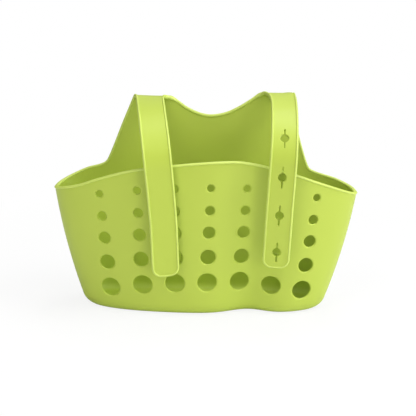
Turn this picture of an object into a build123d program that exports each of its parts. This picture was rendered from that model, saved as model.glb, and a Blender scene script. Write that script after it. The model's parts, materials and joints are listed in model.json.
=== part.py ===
from build123d import *
from math import cos, exp, pi, radians, sin, sqrt
import os

os.makedirs("parts", exist_ok=True)

# Frame: origin at the centre of the base, +Z up, +X to the viewer's right, the front faces -Y.

# Tub, outside sizes
full_height = 142
base_half_length = 80.3
top_half_length = 104.8
base_front_depth = 26.2
top_front_depth = 34.5
base_back_depth = 25.5
top_back_depth = 31.7
base_radius = 7
wall = 2.2

# Shape of the tub: exponents of the plan outline and of the outward flare
front_power = 2.3
back_power = 4
flare_power = 2.09
outline_points = 72
level_height_shares = [0.09, 0.14, 0.2, 0.27, 0.35, 0.44, 0.54, 0.65, 0.8, 1.0, 1.06]
base_turns = [0, 22.5, 45, 67.5, 90]

# Soft creases that run up the front wall
crease_x = 30
crease_left_width = 17.8
crease_right_width = 15
crease_base_depth = 9.5
crease_top_depth = 2.8
side_crease_x = -46
side_crease_width = 10
side_crease_base_depth = 0
side_crease_top_depth = 1.5

# Rim: height over the base at the tips and at the front's crown, as shares of the full height
tip_height_share = 0.57465
front_crown_share = 0.73803

# Front rim from the left tip to the right tip, as shares of the top half length and of the crown's rise
front_rim_shares = [(-1.0, 0.0), (-0.91, 0.05), (-0.79, 0.205), (-0.68, 0.408), (-0.515, 0.642),
                    (-0.365, 0.78), (-0.19, 0.894), (0.02, 0.991), (0.19, 1.005), (0.29, 0.934),
                    (0.37, 0.869), (0.55, 0.649), (0.72, 0.385), (0.79, 0.273), (0.9, 0.088), (1.0, 0.0)]

# Back panel: rim up to each ear's root, then the ears and the dip between them.
# Roots are shares of the top half length and of the full height, tabs and dip are drops from the full height.
left_root_reach_share = -0.665
left_root_height_share = 0.65493
right_root_reach_share = 0.68702
right_root_height_share = 0.6338
root_fillet = 5
left_rim_shares = [(-1.0, 0.0), (-0.92, 0.2), (-0.79, 0.68), (-0.7, 0.92)]
right_rim_shares = [(0.72, 0.9), (0.78, 0.72), (0.86, 0.46), (0.93, 0.16), (1.0, 0.0)]
left_tab_x = -25.5
left_tab_drop = 2.6
right_tab_x = 37.5
right_tab_drop = 0
dip_x = 2.5
dip_drop = 15.6
left_dip_shares = [(0.25, 0.08), (0.55, 0.34), (0.8, 0.75)]
right_dip_shares = [(0.25, 0.125), (0.55, 0.506), (0.8, 0.89)]

# Drain holes: seven columns, five rows from the bottom up. The columns fan out upwards,
# and all but the outer ones bow to the right.
column_count = 7
column_pitch = 21.05
column_centre_x = 1.45
column_fan_share = 0.102
column_base_bow = 0.5
column_top_bow = 1.65
column_bow_power = 4
row_height_shares = [0.16831, 0.29296, 0.41056, 0.51408, 0.61761]
row_diameters = [12.7, 10, 8.05, 6.2, 4.8]
row_sag = 0.7
floor_hole_count = 6
floor_hole_pitch = 20
floor_hole_diameter = 6

# Straps
strap_thickness = 2
strap_width = 17.4
strap_bead_width = 1.6
strap_bead_height = 0.4
tip_radius = 6
ear_spread = 1.9
strap_turn_length = 26
fold_length = 4
fold_angle = 40
arch_points = 5
hang_points = 5
hang_power = 1.7

left_fold_x = -40.1
left_root_width = 19.8
left_taper_length = 130
left_fold_drop = 3.4
left_clearance = 3.84
left_drop = 38.3
left_hang = 70.8
left_tip_clearance = 6.31
left_yaw = 6.2
left_tilt = 4.75

right_fold_x = 51.4
right_root_width = 19.2
right_taper_length = 26
right_fold_drop = 0
right_clearance = 4.43
right_drop = 37.7
right_hang = 67.8
right_tip_clearance = 7.6
right_yaw = -3
right_tilt = -1.5

# Hinge lines of the straps, measured back from the tip: one between every two button holes
button_pitch = 24.7
button_tip_distance = 11.3
upper_link_length = 32
hinge_gap = 0.3
fold_gap = 0.7
shoulder_gap = 0.8
tab_gap = 0.6
link_stations = 4

# Button holes with their slits, and the stud that snaps into them
button_hole_diameter = 5.5
slit_length = 13
slit_width = 1
stud_stem_diameter = 5
stud_stem_length = 2.4
stud_head_diameter = 7.4
stud_head_thickness = 1.5
stud_tip_distance = 9.8

# Cutting tools: how far they run past the wall or past the strap
overrun = 60
hole_tool_length = 9

tip_height = full_height * tip_height_share
front_crown_height = full_height * front_crown_share
left_root_x = top_half_length * left_root_reach_share
left_root_height = full_height * left_root_height_share
right_root_x = top_half_length * right_root_reach_share
right_root_height = full_height * right_root_height_share
left_tab_height = full_height - left_tab_drop
right_tab_height = full_height - right_tab_drop
dip_height = full_height - dip_drop
left_fold_height = full_height - left_fold_drop
right_fold_height = full_height - right_fold_drop
row_heights = [full_height * share for share in row_height_shares]
tip_link_length = button_tip_distance + button_pitch / 2
link_names = ["root", "upper", "middle", "lower"]


def flare(height):
    return 1 - max(0, 1 - height / full_height) ** flare_power


def rounding(height, inset):
    radius = base_radius - inset
    below = max(0, radius - (height - inset))
    return radius - sqrt(max(0, radius ** 2 - below ** 2))


def tub_sizes(height, inset):
    share = flare(height)
    less = inset + rounding(height, inset)
    half_length = base_half_length + (top_half_length - base_half_length) * share - less
    front_depth = base_front_depth + (top_front_depth - base_front_depth) * share - less
    back_depth = base_back_depth + (top_back_depth - base_back_depth) * share - less
    return half_length, front_depth, back_depth


def crease(off, height, width, base_depth, top_depth):
    depth = base_depth + (top_depth - base_depth) * height / full_height
    return depth * exp(-(off / width) ** 2)


def creases(x, height):
    width = crease_left_width if x < crease_x else crease_right_width
    main = crease(x - crease_x, height, width, crease_base_depth, crease_top_depth)
    side = crease(x - side_crease_x, height, side_crease_width, side_crease_base_depth,
                  side_crease_top_depth)
    return main + side


def outline_point(angle, height, inset):
    half_length, front_depth, back_depth = tub_sizes(height, inset)
    power = front_power if sin(angle) < 0 else back_power
    depth = front_depth if sin(angle) < 0 else back_depth
    reach = (abs(cos(angle)) ** power + abs(sin(angle)) ** power) ** (-1 / power)
    x = half_length * reach * cos(angle)
    y = depth * reach * sin(angle)
    if y < 0:
        y += creases(x, height) * min(1, -y / depth)
    return Vector(x, y, height)


def outline_face(height, inset):
    angles = [2 * pi * k / outline_points for k in range(outline_points)]
    points = [outline_point(angle, height, inset) for angle in angles]
    return make_face(Spline(*points, periodic=True))


def tub_solid(inset):
    radius = base_radius - inset
    heights = [inset + radius * (1 - cos(radians(turn))) for turn in base_turns]
    heights += [share * full_height for share in level_height_shares]
    return loft([outline_face(height, inset) for height in heights], ruled=True)


def front_y(x, height):
    half_length, front_depth, back_depth = tub_sizes(height, 0)
    share = min(1, abs(x) / half_length)
    depth = front_depth * (1 - share ** front_power) ** (1 / front_power)
    return -depth + creases(x, height) * depth / front_depth


def back_y(x, height):
    half_length, front_depth, back_depth = tub_sizes(height, 0)
    share = min(1, abs(x) / half_length)
    return back_depth * (1 - share ** back_power) ** (1 / back_power)


def rim_points(shares, rise):
    return [(top_half_length * x, tip_height + rise * z) for x, z in shares]


def above(rim):
    start, end = rim @ 0, rim @ 1
    left, right = start.X - overrun, end.X + overrun
    top = full_height + overrun
    return rim + Polyline(end, (right, end.Y), (right, top), (left, top), (left, start.Y), start)


def above_front_rim():
    return make_face(above(Spline(*rim_points(front_rim_shares, front_crown_height - tip_height))))


def dip_points(start_x, start_height, shares):
    points = [(start_x, start_height)]
    for x_share, z_share in reversed(shares):
        x = dip_x + (start_x - dip_x) * x_share
        points.append((x, dip_height + (start_height - dip_height) * z_share))
    return points


def above_back_rim():
    left_rim = Spline(*rim_points(left_rim_shares, left_root_height - tip_height),
                      (left_root_x, left_root_height))
    right_rim = Spline((right_root_x, right_root_height),
                       *rim_points(right_rim_shares, right_root_height - tip_height))
    left_outer, left_inner = ear_edges(left_strap)
    right_outer, right_inner = ear_edges(right_strap)
    left_shoulder = ear_height(left_strap)
    right_shoulder = ear_height(right_strap)
    left_ear = Polyline(left_rim @ 1, (left_outer, left_shoulder), (left_inner, left_shoulder),
                        (left_inner, left_tab_height), (left_tab_x, left_tab_height))
    dip = Spline(*dip_points(left_tab_x, left_tab_height, left_dip_shares), (dip_x, dip_height),
                 *reversed(dip_points(right_tab_x, right_tab_height, right_dip_shares)))
    right_ear = Polyline(dip @ 1, (right_inner, right_tab_height), (right_inner, right_shoulder),
                         (right_outer, right_shoulder), right_rim @ 0)
    face = make_face(above(left_rim + left_ear + dip + right_ear + right_rim))
    roots = [left_rim @ 1, right_rim @ 0]
    corners = [v for v in face.vertices() if min((Vector(v) - root).length for root in roots) < wall]
    return fillet(corners, root_fillet)


def stand_up(face, reach):
    plane = Plane(origin=(0, 0, 0), x_dir=(1, 0, 0), z_dir=(0, -1, 0))
    return extrude(plane * face, reach)


def ear_height(strap):
    return fold_start(strap).Z - shoulder_gap


def ear_edges(strap):
    half = strap["root_width"] / 2
    outward = -1 if strap["fold_x"] < 0 else 1
    return strap["fold_x"] + outward * (half + ear_spread), strap["fold_x"] - outward * (half + tab_gap)


def tub():
    body = tub_solid(0) - tub_solid(wall)
    return body - [stand_up(above_front_rim(), overrun), stand_up(above_back_rim(), -overrun)]


def drain_holes():
    holes = []
    half_count = (column_count - 1) / 2
    for height, diameter in zip(row_heights, row_diameters):
        share = (height - row_heights[0]) / (row_heights[-1] - row_heights[0])
        pitch = column_pitch * (1 + column_fan_share * share)
        bow = column_base_bow + (column_top_bow - column_base_bow) * share
        for k in range(column_count):
            column = k - half_count
            x = column_centre_x + column * pitch + bow * (1 - abs(column / half_count) ** column_bow_power)
            circle = Pos(x, height - row_sag * column ** 2, 0) * Circle(diameter / 2)
            holes.append(stand_up(circle, overrun))
    return holes


def floor_holes():
    holes = []
    for k in range(floor_hole_count):
        x = (k - (floor_hole_count - 1) / 2) * floor_hole_pitch
        holes.append(Pos(x, 0, 0) * Cylinder(floor_hole_diameter / 2, hole_tool_length))
    return holes


def basket():
    return tub() - drain_holes() - floor_holes()


def fold_start(strap):
    x = strap["fold_x"]
    height = strap["fold_height"] - fold_length * sin(radians(fold_angle))
    return Vector(x, back_y(x, height) - wall / 2, height)


def fold_end(strap):
    start = fold_start(strap)
    return Vector(start.X, start.Y - fold_length * cos(radians(fold_angle)), strap["fold_height"])


def strap_axis(strap):
    return Vector(1, 0, 0).rotate(Axis.Y, -strap["tilt"]).rotate(Axis.Z, strap["yaw"])


def set_back(strap, start, forward, up, reach):
    fall = up * (-strap["drop"] - strap["hang"])
    tip = start + forward * reach + fall
    tip_y = front_y(tip.X, tip.Z) - strap["tip_clearance"]
    return reach - (tip_y - start.Y - fall.Y) / forward.Y


def strap_path(strap):
    across = strap_axis(strap)
    forward = across.cross(Vector(0, 0, 1)).normalized()
    up = across.cross(-forward).normalized()
    start = fold_end(strap)
    reach = start.Y + top_front_depth + strap["clearance"]
    back = set_back(strap, start, forward, up, reach)
    side_points = []
    for k in range(arch_points):
        turn = k * pi / 2 / arch_points
        side_points.append((reach * sin(turn), strap["drop"] * (cos(turn) - 1)))
    for k in range(hang_points + 1):
        share = k / hang_points
        ahead = reach - back * share ** hang_power
        side_points.append((ahead, -strap["drop"] - strap["hang"] * share))
    return Spline(*[start + forward * ahead + up * rise for ahead, rise in side_points])


def strap_plane(strap, distance):
    path = strap["path"]
    place = path.position_at(distance, PositionMode.LENGTH)
    along = path.tangent_at(distance, PositionMode.LENGTH)
    share = min(1, distance / strap_turn_length)
    across = (Vector(1, 0, 0) * (1 - share) + strap_axis(strap) * share).normalized()
    along -= across * along.dot(across)
    return Plane(origin=place, x_dir=across, z_dir=along)


def width_at(strap, distance):
    share = min(1, distance / strap["taper_length"])
    return strap["root_width"] + (strap_width - strap["root_width"]) * share


def strap_section(strap, distance):
    half = width_at(strap, distance) / 2
    side = strap_thickness / 2
    inner = half - strap_bead_width
    crown = side + strap_bead_height
    outline = Polyline((-half, -side), (half, -side), (half, crown), (inner, crown), (inner, side),
                       (-inner, side), (-inner, crown), (-half, crown), close=True)
    return strap_plane(strap, distance) * make_face(outline)


def round_end(plane, width):
    return plane * Rot(0, 90, 0) * Cylinder(strap_thickness / 2, width)


def button_hole(plane):
    hole = Rot(90, 0, 0) * Cylinder(button_hole_diameter / 2, hole_tool_length)
    slit = Box(slit_width, hole_tool_length, slit_length)
    return plane * (hole + slit)


def strap_link(strap, start, end):
    stations = [start + (end - start) * k / link_stations for k in range(link_stations + 1)]
    link = loft([strap_section(strap, station) for station in stations], ruled=True)
    for station in (start, end):
        link += round_end(strap_plane(strap, station), width_at(strap, station))
    return link


def fold_link(strap):
    start, end = fold_start(strap), fold_end(strap)
    along = (end - start).normalized()
    gap = (strap_thickness + fold_gap) / 2
    length = fold_length - 2 * gap
    plane = Plane(origin=start + along * gap, x_dir=(1, 0, 0), z_dir=along)
    link = plane * Pos(0, 0, length / 2) * Box(strap["root_width"], strap_thickness, length)
    for place in (0, length):
        link += round_end(plane * Pos(0, 0, place), strap["root_width"])
    return link


def tip_outline(half, start, end, radius):
    corners = Polyline((-half, start), (half, start), (half, end), (-half, end), close=True)
    face = make_face(corners)
    return fillet(face.vertices().group_by(Axis.Y)[-1], radius)


def tip_frame(strap):
    path = strap["path"]
    gap = (strap_thickness + hinge_gap) / 2
    start = path.position_at(path.length - tip_link_length + gap, PositionMode.LENGTH)
    along = path @ 1 - start
    across = strap_axis(strap)
    return Plane(origin=start, x_dir=across, z_dir=across.cross(along)), along.length


def tip_link(strap):
    plane, length = tip_frame(strap)
    half = strap_width / 2
    side = strap_thickness / 2
    face = tip_outline(half, 0, length, tip_radius)
    inner = tip_outline(half - strap_bead_width, -strap_bead_width, length - strap_bead_width,
                        tip_radius - strap_bead_width)
    link = extrude(face, side, both=True) + extrude(face - inner, -side - strap_bead_height)
    return plane * (link + round_end(Pos(0, 0, 0), strap_width))


def tip_hole(strap):
    plane, length = tip_frame(strap)
    return button_hole(plane * Pos(0, length - button_tip_distance, 0) * Rot(-90, 0, 0))


def snap_stud(strap):
    plane, length = tip_frame(strap)
    side = strap_thickness / 2
    stem = Pos(0, 0, side + stud_stem_length / 2) * Cylinder(stud_stem_diameter / 2, stud_stem_length)
    head_middle = side + stud_stem_length + stud_head_thickness / 2
    head = Pos(0, 0, head_middle) * Cylinder(stud_head_diameter / 2, stud_head_thickness)
    head = fillet(head.edges().group_by(Axis.Z)[-1], stud_head_thickness / 2)
    return plane * Pos(0, length - stud_tip_distance, 0) * (stem + head)


def hinge_distances(strap):
    length = strap["path"].length
    first = length - tip_link_length
    upper = first - 2 * button_pitch
    return [upper - upper_link_length, upper, first - button_pitch, first]


def strap_pieces(strap, with_holes):
    gap = (strap_thickness + hinge_gap) / 2
    root_gap = (strap_thickness + fold_gap) / 2
    hinges = hinge_distances(strap)
    starts = [root_gap] + [distance + gap for distance in hinges[:-1]]
    ends = [distance - gap for distance in hinges]
    pieces = {"fold": fold_link(strap)}
    for name, start, end in zip(link_names, starts, ends):
        pieces[name] = strap_link(strap, start, end)
    pieces["tip"] = tip_link(strap)
    if with_holes:
        pieces["tip"] -= tip_hole(strap)
        last = strap["path"].length - button_tip_distance
        for k, name in enumerate(reversed(link_names[1:])):
            pieces[name] -= button_hole(strap_plane(strap, last - (k + 1) * button_pitch))
    return pieces


left_strap = {"fold_x": left_fold_x, "fold_height": left_fold_height, "clearance": left_clearance,
              "drop": left_drop, "hang": left_hang, "tip_clearance": left_tip_clearance, "yaw": left_yaw,
              "tilt": left_tilt, "root_width": left_root_width, "taper_length": left_taper_length}
right_strap = {"fold_x": right_fold_x, "fold_height": right_fold_height, "clearance": right_clearance,
               "drop": right_drop, "hang": right_hang, "tip_clearance": right_tip_clearance,
               "yaw": right_yaw, "tilt": right_tilt, "root_width": right_root_width,
               "taper_length": right_taper_length}

left_strap["path"] = strap_path(left_strap)
right_strap["path"] = strap_path(right_strap)

nodes = {"basket": basket()}
for name, piece in strap_pieces(left_strap, False).items():
    nodes["stud_strap_" + name] = piece
for name, piece in strap_pieces(right_strap, True).items():
    nodes["buttonhole_strap_" + name] = piece
nodes["snap_stud"] = snap_stud(left_strap)

for name, piece in nodes.items():
    piece.label = name
    export_step(piece, "parts/" + name + ".step")
    print(name, len(piece.solids()), round(piece.volume, 1))
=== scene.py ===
import json
import math

import bmesh
import bpy
import numpy as np
from mathutils import Matrix, Vector, geometry


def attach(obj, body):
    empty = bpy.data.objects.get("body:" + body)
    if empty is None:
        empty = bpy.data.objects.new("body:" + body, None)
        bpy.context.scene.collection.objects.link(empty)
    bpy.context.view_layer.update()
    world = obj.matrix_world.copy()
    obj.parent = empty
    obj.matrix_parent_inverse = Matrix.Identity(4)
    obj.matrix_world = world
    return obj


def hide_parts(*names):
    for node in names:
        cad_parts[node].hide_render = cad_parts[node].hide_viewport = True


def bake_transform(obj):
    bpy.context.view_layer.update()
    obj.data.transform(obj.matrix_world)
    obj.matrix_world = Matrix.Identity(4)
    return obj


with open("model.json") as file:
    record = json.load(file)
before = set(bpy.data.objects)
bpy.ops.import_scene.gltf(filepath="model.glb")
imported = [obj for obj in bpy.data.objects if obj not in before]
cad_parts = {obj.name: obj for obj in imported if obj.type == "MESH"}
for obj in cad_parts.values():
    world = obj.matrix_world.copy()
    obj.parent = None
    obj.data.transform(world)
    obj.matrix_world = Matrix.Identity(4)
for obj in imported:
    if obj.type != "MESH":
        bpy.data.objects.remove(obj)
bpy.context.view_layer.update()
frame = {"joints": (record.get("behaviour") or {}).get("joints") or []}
print("frame loaded")

mm = 0.001
farOff = 99.0  # stands for any distance too great to matter


# Wiring of node trees: a Signal is one socket, and sums on it, from either side, add Math nodes
class Signal:
    def __init__(self, wiring, socket):
        self.wiring = wiring
        self.socket = socket

    def maths(self, operation, *others):
        return self.wiring.add("ShaderNodeMath", {"operation": operation}, dict(enumerate((self,) + others)))

    def reverse(self, operation, other):
        return self.wiring.add("ShaderNodeMath", {"operation": operation}, {0: other, 1: self})

    def clamped(self):
        return self.maths("MAXIMUM", 0.0).maths("MINIMUM", 1.0)

    def __lt__(self, other):
        return self.maths("LESS_THAN", other)

    def __abs__(self):
        return self.maths("ABSOLUTE")


operators = {"add": "ADD", "sub": "SUBTRACT", "mul": "MULTIPLY", "truediv": "DIVIDE", "pow": "POWER"}
for sign, kind in operators.items():
    setattr(Signal, "__" + sign + "__", lambda self, other, kind=kind: self.maths(kind, other))
    setattr(Signal, "__r" + sign + "__", lambda self, other, kind=kind: self.reverse(kind, other))


class Wiring:
    def __init__(self, nodeTree):
        self.tree = nodeTree
        nodeTree.nodes.clear()

    def add(self, kind, settings=None, inputs=None, out=0):
        node = self.tree.nodes.new(kind)
        for name, value in (settings or {}).items():
            if name == "items":
                while len(node.index_switch_items) < value:
                    node.index_switch_items.new()
            else:
                setattr(node, name, value)
        for name, value in (inputs or {}).items():
            self.feed(node.inputs[name], value)
        return Signal(self, node.outputs[out]) if len(node.outputs) else node

    def feed(self, socket, value):
        if isinstance(value, Signal):
            self.tree.links.new(value.socket, socket)
        else:
            socket.default_value = value

    def port(self, node, name):
        return Signal(self, node.socket.node.outputs[name])

    def vector(self, operation, *values, out=0):
        return self.add("ShaderNodeVectorMath", {"operation": operation}, dict(enumerate(values)), out)

    def scaled(self, vector, factor):
        return self.add("ShaderNodeVectorMath", {"operation": "SCALE"}, {0: vector, "Scale": factor})

    def close(self, start, place=None, shaped=None):
        # A geometry tree's end: its points moved where a place is given, real geometry, and the material
        if place:
            shaped = self.add("GeometryNodeSetPosition", None,
                              {"Geometry": self.port(start, "Geometry"), "Position": place})
        real = self.add("GeometryNodeRealizeInstances", None, {0: shaped})
        material = self.port(start, "Material")
        dressed = self.add("GeometryNodeSetMaterial", None, {"Geometry": real, "Material": material})
        self.add("NodeGroupOutput", None, {0: dressed})
        return self.tree


def newTree(name, sizes, extra, result="Geometry"):
    # A geometry tree with its sockets: the sizes are numbers, the extra inputs name their own kinds
    tree = bpy.data.node_groups.new(name, "GeometryNodeTree")
    for label, kind in extra.items():
        tree.interface.new_socket(label, in_out="INPUT", socket_type="NodeSocket" + kind)
    for label, value in sizes.items():
        socket = tree.interface.new_socket(label, in_out="INPUT", socket_type="NodeSocketFloat")
        socket.default_value = value
    tree.interface.new_socket(result, in_out="OUTPUT", socket_type="NodeSocket" + result)
    w = Wiring(tree)
    return w, w.add("NodeGroupInput")


def runThrough(tree, piece, inputs):
    # The tree's result becomes the piece's plain mesh, and the modifier goes
    modifier = piece.modifiers.new(tree.name, "NODES")
    modifier.node_group = tree
    for item in tree.interface.items_tree:
        if item.in_out == "INPUT" and item.name in inputs:
            modifier[item.identifier] = inputs[item.name]
    bpy.context.view_layer.update()
    graph = bpy.context.evaluated_depsgraph_get()
    mesh = bpy.data.meshes.new_from_object(piece.evaluated_get(graph))
    old = piece.data
    piece.modifiers.clear()
    piece.data = mesh
    bpy.data.meshes.remove(old)


def linked(name, data):
    thing = bpy.data.objects.new(name, data)
    bpy.context.scene.collection.objects.link(thing)
    return thing


def newMaterial(name):
    material = bpy.data.materials.new(name)
    material.use_nodes = True
    return material, Wiring(material.node_tree)


def newPiece(name, vertices, faces, material=None):
    mesh = bpy.data.meshes.new(name)
    mesh.from_pydata([tuple(map(float, v)) for v in vertices], [], [tuple(map(int, f)) for f in faces])
    mesh.update()
    if material:
        mesh.materials.append(material)
    return linked(name, mesh)


# Tub sizes in millimetres, measured over the outside faces
tub = {
    "Full height": 142.0,
    "Base half length": 80.3,
    "Top half length": 104.8,
    "Base front depth": 26.2,
    "Top front depth": 34.5,
    "Base back depth": 25.5,
    "Top back depth": 31.7,
    "Base radius": 7.0,
    "Front power": 2.3,
    "Back power": 4.0,
    "Flare power": 2.09,
    "Crease place": 30.0,
    "Crease left width": 17.8,
    "Crease right width": 15.0,
    "Crease base depth": 9.5,
    "Crease top depth": 2.8,
    "Side crease place": -46.0,
    "Side crease left width": 10.0,
    "Side crease right width": 10.0,
    "Side crease base depth": 0.0,
    "Side crease top depth": 1.5,
}
wall = 2.2
refHeight = 92.0  # lengths round the tub are measured at this height
tubWays = ("half length", "front depth", "back depth")
bottom = tub["Base radius"] * (1 - math.pi / 2)  # the flat wall's lower edge, before its foot curls in

# Lines of the rim as (x, height) points: the front edge, then the back with its wave between the two ears
rim = {
    "tip": 81.6,
    "front": [(-98.3, 82.2), (-94.7, 83.1), (-82.4, 86.5), (-71, 91.0), (-53.7, 96.5), (-38.3, 99.8),
              (-19.8, 102.4), (2.5, 104.6), (19.7, 104.9), (30.4, 103.3), (38.5, 101.7), (57.9, 96.7),
              (68.4, 93.0), (75.5, 90.5), (82.8, 87.9), (93.7, 83.8), (98.0, 82.2)],
    "left": [(-96.4, 83.6), (-89.4, 86.7), (-82.4, 89.4), (-74.0, 91.5), (-70.3, 93.4), (-67.8, 97.9),
             (-58.9, 120.3), (-53.3, 133.8)],
    "wave": [(-25.6, 139.3), (-23.6, 138.4), (-19.1, 135.6), (-14, 132.1), (-5.1, 128.2), (2.7, 127.0),
             (12.4, 128.7), (21.1, 132.7), (29.6, 138.1), (33.6, 140.9), (36.4, 142.6)],
    "right": [(60.6, 136.6), (61.2, 128.0), (63.4, 116.6), (67.2, 103.8), (70.6, 94.2), (72.6, 90.8),
              (76.5, 88.9), (81.0, 87.6), (89.6, 85.5), (96.3, 83.2)],
}
# Moulded bead along every edge: how far it stands proud of the front and back faces, its round and its width
bead = {"proud": 0.5, "back": 0.15, "round": 0.8, "width": 1.15, "fade": 0.4}
waveBead = {"back": 0.35, "width": 1.7, "fade": 0.5}

# Folds of the two straps: the panel's corner at x, the way to the panel's middle, the seam's height and its
# place along the strap, the height where the fold starts, the ear's place and the pull on the inner corner
foldRound = 3.5
folds = {
    "left": {"x": -25.6, "toward": 1, "seam": 133.8, "seamAt": -6.43, "start": 135.1, "earY": 30.42,
             "rise": 0.3},
    "right": {"x": 36.4, "toward": -1, "seam": 136.6, "seamAt": -7.06, "start": 138.5, "earY": 30.13,
              "rise": 0.35},
}
earEnd = -2.06  # place along a strap where the ear's wall has become the band
crestRun = {"from": -5.5, "grows": 4, "until": 20, "shrinks": 17}
panelBend = {"spread": 9, "past": 0.9, "behind": 15}


def tubSizes(height):
    # Half length, front depth and back depth at this height
    share = 1 - np.maximum(0, 1 - height / tub["Full height"]) ** tub["Flare power"]
    return [tub["Base " + way] + (tub["Top " + way] - tub["Base " + way]) * share for way in tubWays]


def crease(x, height, kind):
    base, top = tub[kind + " base depth"], tub[kind + " top depth"]
    width = np.where(x < tub[kind + " place"], tub[kind + " left width"], tub[kind + " right width"])
    depth = base + (top - base) * height / tub["Full height"]
    return depth * np.exp(-((x - tub[kind + " place"]) / width) ** 2)


def bulge(x, half, power):
    # 1 in the middle and 0 at the tips
    return (1 - np.minimum(1, np.abs(x) / half) ** power) ** (1 / power)


def frontFace(x, height):
    half, front, back = tubSizes(height)
    dents = crease(x, height, "Crease") + crease(x, height, "Side crease")
    return bulge(x, half, tub["Front power"]) * (dents - front)


def backFace(x, height):
    half, front, back = tubSizes(height)
    return back * bulge(x, half, tub["Back power"])


def turnOf(x, height, side):
    # Angle of the tub's outline at this x, on the front (side -1) or the back (side 1)
    half = tubSizes(height)[0]
    power = tub["Front power"] if side < 0 else tub["Back power"]
    return np.arctan2(side * bulge(x, half, power), x / half)


def outline(turn, height):
    half, front, back = tubSizes(height)
    cosine, sine = np.cos(turn), np.sin(turn)
    power = np.where(sine < 0, tub["Front power"], tub["Back power"])
    depth = np.where(sine < 0, front, back)
    reach = (np.abs(cosine) ** power + np.abs(sine) ** power) ** (-1 / power)
    return half * reach * cosine, depth * reach * sine


rimEnd = float(tubSizes(rim["tip"])[0])
rim["front"] = [(-rimEnd, rim["tip"])] + rim["front"] + [(rimEnd, rim["tip"])]
rim["left"] = [(-rimEnd, rim["tip"])] + rim["left"]
rim["right"] = rim["right"] + [(rimEnd, rim["tip"])]


def lengthsOf(points):
    # Length along a line from its start to each of its points
    moves = np.diff(points, axis=0).T
    sizes = np.hypot(*moves) if len(moves) == 2 else np.linalg.norm(moves, axis=0)
    return np.concatenate([[0], np.cumsum(sizes)])


# Length round the tub by angle, which the flat wall is laid out by
refTurns = np.linspace(-math.pi, math.pi, 4001)
refLengths = lengthsOf(np.column_stack(outline(refTurns, refHeight)))


def lengthOf(turn):
    return np.interp(turn, refTurns, refLengths)


def eased(share):
    # Soft at both ends between 0 and 1
    return share * share * (3 - 2 * share)


def apart(points, centre):
    return np.hypot(*(points - centre).T)


def smoothLine(points, step):
    # Curve through the points, sampled evenly
    p = np.array(points, float)
    ends = np.vstack([2 * p[0] - p[1], p, 2 * p[-1] - p[-2]])
    fine = []
    for a, b, c, d in zip(ends, ends[1:], ends[2:], ends[3:]):
        ab, bc, cd = (max(1e-6, math.sqrt(np.hypot(*(q - r)))) for q, r in ((b, a), (c, b), (d, c)))
        m1 = bc * ((b - a) / ab - (c - a) / (ab + bc) + (c - b) / bc)
        m2 = bc * ((c - b) / bc - (d - b) / (bc + cd) + (d - c) / cd)
        for t in np.linspace(0, 1, 24, endpoint=False):
            fine.append((2 * t ** 3 - 3 * t ** 2 + 1) * b + (t ** 3 - 2 * t ** 2 + t) * m1
                        + (3 * t ** 2 - 2 * t ** 3) * c + (t ** 3 - t ** 2) * m2)
    return evenLine(np.array(fine + [p[-1]]), step)


def evenLine(points, step):
    points = np.array(points, float)
    lengths = lengthsOf(points)
    count = max(1, round(lengths[-1] / step))
    at = np.linspace(0, lengths[-1], count + 1)
    return np.column_stack([np.interp(at, lengths, points[:, k]) for k in range(2)])


def segmentsOf(line):
    return np.stack([line[:-1], line[1:]], axis=1)


def loopSegments(loop):
    return segmentsOf(np.vstack([loop, loop[:1]]))


def nearest(points, segments):
    # Distance of every point from the nearest segment
    best = np.full(len(points), farOff)
    if len(segments) == 0:
        return best
    a, b = segments[:, 0], segments[:, 1]
    run = b - a
    square = np.maximum((run ** 2).sum(1), 1e-12)
    batch = 1500
    for start in range(0, len(points), batch):
        p = points[start:start + batch, None, :]
        share = np.clip(((p - a) * run).sum(2) / square, 0, 1)
        gap = p - (a + share[..., None] * run)
        best[start:start + batch] = np.minimum(farOff, np.sqrt((gap ** 2).sum(2).min(1)))
    return best


def within(points, loop):
    inside = np.zeros(len(points), bool)
    for (x1, y1), (x2, y2) in zip(loop, np.roll(loop, -1, axis=0)):
        if y1 == y2:
            continue
        crosses = (y1 > points[:, 1]) != (y2 > points[:, 1])
        inside ^= crosses & (points[:, 0] < (x2 - x1) * (points[:, 1] - y1) / (y2 - y1) + x1)
    return inside


def hexPoints(low, high, step):
    rows = []
    rowShare = 0.866
    for k, y in enumerate(np.arange(low[1], high[1], step * rowShare)):
        xs = np.arange(low[0] + (step / 2 if k % 2 else 0), high[0], step)
        rows.append(np.column_stack([xs, np.full(len(xs), y)]))
    return np.vstack(rows)


# Points of a flat sheet: rings that follow its moulded edges, how close the others come to edges, cuts and
# holes, in mm or in steps, and the steps of each line and sheet in mm
ringSteps = [0.03, 0.12, 0.28, 0.5, 0.8, 1.0, 1.15, 1.25, 1.35, 1.45, 1.55, 1.7, 1.85, 2.0, 2.15, 2.5]
spacing = {"ringShare": 0.97, "ringToCut": 0.3, "ringToHole": 0.8, "innerSteps": 0.5, "holeSteps": 0.45}
steps = {"trace": 0.25, "line": 1.0, "cut": 1.4, "side": 0.8, "column": 1.95, "floorEdge": 1.9,
         "wall": 2.1, "floor": 3.0, "strap": 1.5, "path": 0.4}


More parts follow.
